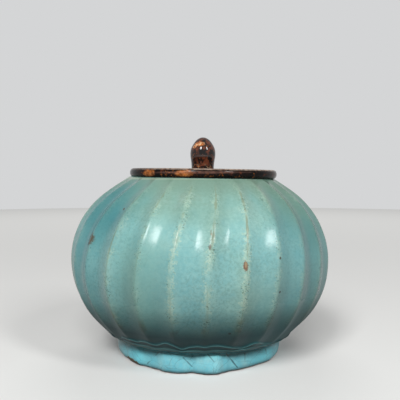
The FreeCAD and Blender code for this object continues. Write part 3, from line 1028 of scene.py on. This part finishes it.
def lacquer(name, amber_places, mottle, blotches, gloss):
    """Dark lacquer. From 0 to 1, mottle is how strong its flecks are, blotches how wide
    they spread, and gloss how well it is polished."""
    shader = new_material(name)
    scene = bpy.context.scene
    look, sizes = scene.lacquer_look, scene.lid_sizes
    height = shader.heights(scene.jar_sizes.lean)
    top = LID_TOP / MM
    broad = shader.noise(95.0, 4.0, 0.65)
    fine = shader.noise(480.0, 4.0, 0.65)
    shader.colour = shader.mix(shader.step(broad, 0.38, 0.66), look.dark[:], look.brown[:])
    flecks = shader.clouds(330.0, 3.0, 0.62 - 0.2 * blotches, 0.68 - 0.14 * blotches,
                           roughness=0.6)
    shader.coat(look.red[:], flecks, shader.step(broad, 0.36, 0.56, 0.3, 1.0), mottle)
    shader.coat(look.amber[:], shader.clouds(700.0, 3.0, 0.55, 0.66, roughness=0.7),
                shader.clouds(140.0, 2.0, 0.5, 0.62), mottle)
    shake = shader.jitter(330.0, 1.1, 4.0)
    for place, half_sizes in amber_places:
        glow = shader.all_of(shader.spot(place, half_sizes, 0.3, shake),
                             shader.step(fine, 0.36, 0.62, 0.2 + 0.2 * gloss, 0.85))
        shader.coat(look.amber[:], glow)
        # Where the lacquer is polished, the amber places are painted paler: partly lighter
        # lacquer, partly painted sheen.
        shader.coat(rgb(240, 200, 156), glow, shader.clouds(560.0, 2.0, 0.5, 0.62), gloss**2)

    # The lip is worn all round, a painted highlight runs along the edge in front, and fine
    # lines ring the knob.
    wavering = shader.math("ADD", height, shader.jitter(260.0, 0.7))
    from_axis = shader.vector("DISTANCE", shader.upright(0.0), (sizes.shift, 0.0, 0.0))
    lip = sizes.radius - LIP_WIDTH
    shader.coat(rgb(166, 146, 130), shader.step(wavering, top - 1.1, top - 0.5),
                shader.step(from_axis, lip + 1.8 * MM, lip + 2.8 * MM),
                shader.step(fine, 0.35, 0.6, 0.3, 1.0), 0.8)
    # Painted highlight: a pale band along the front of the half-round edge.
    painted_highlight = shader.spot((0.0, -53.0, top - 2.5), (30.0, 24.0, 0.75), 0.5,
                         shader.jitter(200.0, 0.8))
    shader.coat(rgb(160, 118, 104), painted_highlight, shader.step(fine, 0.3, 0.6, 0.35, 1.0), 0.3)
    fine_lines = shader.cracks(shader.shaken(180.0, 0.003), 210.0, 0.32 * MM)
    shader.coat(rgb(170, 140, 108), fine_lines, shader.step(height, top + 4.5, top + 1.5),
                shader.step(height, top + 0.4, top + 1.0), 0.7)
    roughness = shader.step(broad, 0.3, 0.7, 0.2 - 0.12 * gloss, 0.32 - 0.18 * gloss)
    relief = shader.total((fine, 0.5), (broad, 0.3))
    return shader.finish(roughness, relief, 0.14 * MM, 0.5 - 0.35 * gloss,
                         1.02 + 0.45 * gloss)


def lid_lacquer():
    name = "mottled_lid_lacquer"
    return bpy.data.materials.get(name) or lacquer(name, LID_AMBER, 0.5, 0.2, 0.4)


def knob_lacquer():
    return lacquer("mottled_knob_lacquer", KNOB_AMBER, 0.75, 0.8, 1.0)


CAMERA_PLACE = (0.87 * MM, -409.3 * MM, 124.6 * MM)
CAMERA_DOWN = math.radians(2.51)
CAMERA_LENS, CAMERA_SENSOR = 51.225, 36.0
LAMP_AIM = Vector((0.0, -0.06, 0.09))
LAMP_DISTANCE = 2.2

# Lamps: name, turn from the front and height over the horizon in degrees, width and height
# in metres, the setting that holds the power, and whether the glaze mirrors the lamp.
LAMPS = (
    ("wide_lamp_front", -2.0, 38.0, 0.9, 0.5, "front_power", False),
    ("soft_box_left", -22.0, 40.0, 0.46, 0.8, "left_power", True),
    ("soft_box_right", 44.0, 37.0, 0.34, 0.75, "right_power", True),
    ("weak_lamp_back", 180.0, 48.0, 1.2, 0.9, "back_power", False),
)


def add_lamp(name, azimuth, elevation, width, height, power, mirrored):
    """Adds a soft box that looks at the jar from a direction given in degrees."""
    clear_selection()
    azimuth, elevation = math.radians(azimuth), math.radians(elevation)
    away = LAMP_DISTANCE * Vector((math.sin(azimuth) * math.cos(elevation),
                                   -math.cos(azimuth) * math.cos(elevation),
                                   math.sin(elevation)))
    bpy.ops.object.light_add(type="AREA", location=LAMP_AIM + away)
    lamp = bpy.context.object
    lamp.name = name
    lamp.data.shape = "RECTANGLE"
    lamp.data.size = width
    lamp.data.size_y = height
    lamp.data.energy = power
    lamp.rotation_euler = (-away).to_track_quat("-Z", "Y").to_euler()
    lamp.visible_glossy = mirrored


def floor_paper(look):
    """Pale paper that keeps the shadow and throws little light back up at the jar."""
    shader = new_material("floor_paper")
    shader.tree.nodes.remove(shader.tree.nodes["Principled BSDF"])
    seen = shader.seen_directly()
    albedo = shader.mix(seen, look.floor_bounce[:], look.floor[:])
    paper = shader.node("BsdfDiffuse", {"Color": albedo})
    lift = shader.step(shader.vector("LENGTH", shader.where), 0.12, 1.5, 0.06, 0.4)
    glow = shader.node("Emission", {"Color": look.floor[:],
                                    "Strength": shader.math("MULTIPLY", seen, lift)})
    shader.show(shader.node("AddShader", {0: paper.outputs[0], 1: glow.outputs[0]}))
    return shader.owner


def studio(look):
    """The room: a pale backdrop to look at and a weaker soft light from all round."""
    shader = Shader(bpy.data.worlds.new("studio"))
    fill = shader.tree.nodes["Background"]
    fill.inputs["Color"].default_value = look.fill[:]
    shown = shader.node("Background", {"Color": look.backdrop[:]})
    shader.show(shader.node("MixShader", {0: shader.seen_directly(), 1: fill.outputs[0],
                                          2: shown.outputs[0]}))
    return shader.owner


class JAR_OT_stage(bpy.types.Operator):
    """Set the pale floor, the soft lights and the camera"""

    bl_idname = "jar.build_stage"
    bl_label = "Stage"

    def execute(self, context):
        look = context.scene.stage_look
        clear_selection()
        bpy.ops.mesh.primitive_circle_add(vertices=96, radius=look.floor_radius,
                                          fill_type="NGON", location=(0.0, 0.0, 0.0))
        floor = context.object
        floor.name = "floor"
        floor.data.materials.append(floor_paper(look))
        for *settings, power, mirrored in LAMPS:
            add_lamp(*settings, getattr(look, power), mirrored)
        context.scene.world = studio(look)
        clear_selection()
        bpy.ops.object.camera_add(
            location=CAMERA_PLACE, rotation=(math.radians(90.0) - CAMERA_DOWN, 0.0, 0.0))
        camera = context.object
        camera.data.lens = CAMERA_LENS
        camera.data.sensor_width = CAMERA_SENSOR
        camera.data.clip_start = 0.01
        context.scene.camera = camera
        context.scene.view_settings.view_transform = "Standard"
        return {"FINISHED"}


class JAR_PT_pieces(bpy.types.Panel):
    """Lists the jar's pieces and sizes"""

    bl_label = "Fluted jar"
    bl_idname = "JAR_PT_pieces"
    bl_space_type = "VIEW_3D"
    bl_region_type = "UI"
    bl_category = "Jar"

    def draw(self, context):
        layout = self.layout
        for name, _ in GROUPS:
            group = getattr(context.scene, name)
            box = layout.box()
            for key in group.__annotations__:
                box.prop(group, key)
        for operator in OPERATORS:
            layout.operator(operator.bl_idname)


GROUPS = (("jar_sizes", JarSizes), ("foot_sizes", FootSizes), ("lid_sizes", LidSizes),
          ("glaze_look", GlazeLook), ("lacquer_look", LacquerLook),
          ("stage_look", StageLook))
OPERATORS = (JAR_OT_wall, JAR_OT_foot, JAR_OT_lid, JAR_OT_lid_ring, JAR_OT_knob,
             JAR_OT_stage)


def register():
    for name, group in GROUPS:
        bpy.utils.register_class(group)
        setattr(bpy.types.Scene, name, PointerProperty(type=group))
    for kind in OPERATORS + (JAR_PT_pieces,):
        bpy.utils.register_class(kind)


def unregister():
    for kind in reversed(OPERATORS + (JAR_PT_pieces,)):
        bpy.utils.unregister_class(kind)
    for name, group in reversed(GROUPS):
        delattr(bpy.types.Scene, name)
        bpy.utils.unregister_class(group)


def main():
    register()
    bpy.ops.jar.build_wall()
    bpy.ops.jar.build_foot()
    bpy.ops.jar.build_lid()
    bpy.ops.jar.build_lid_ring()
    bpy.ops.jar.build_knob()
    bpy.ops.jar.build_stage()


if __name__ == "__main__":
    main()
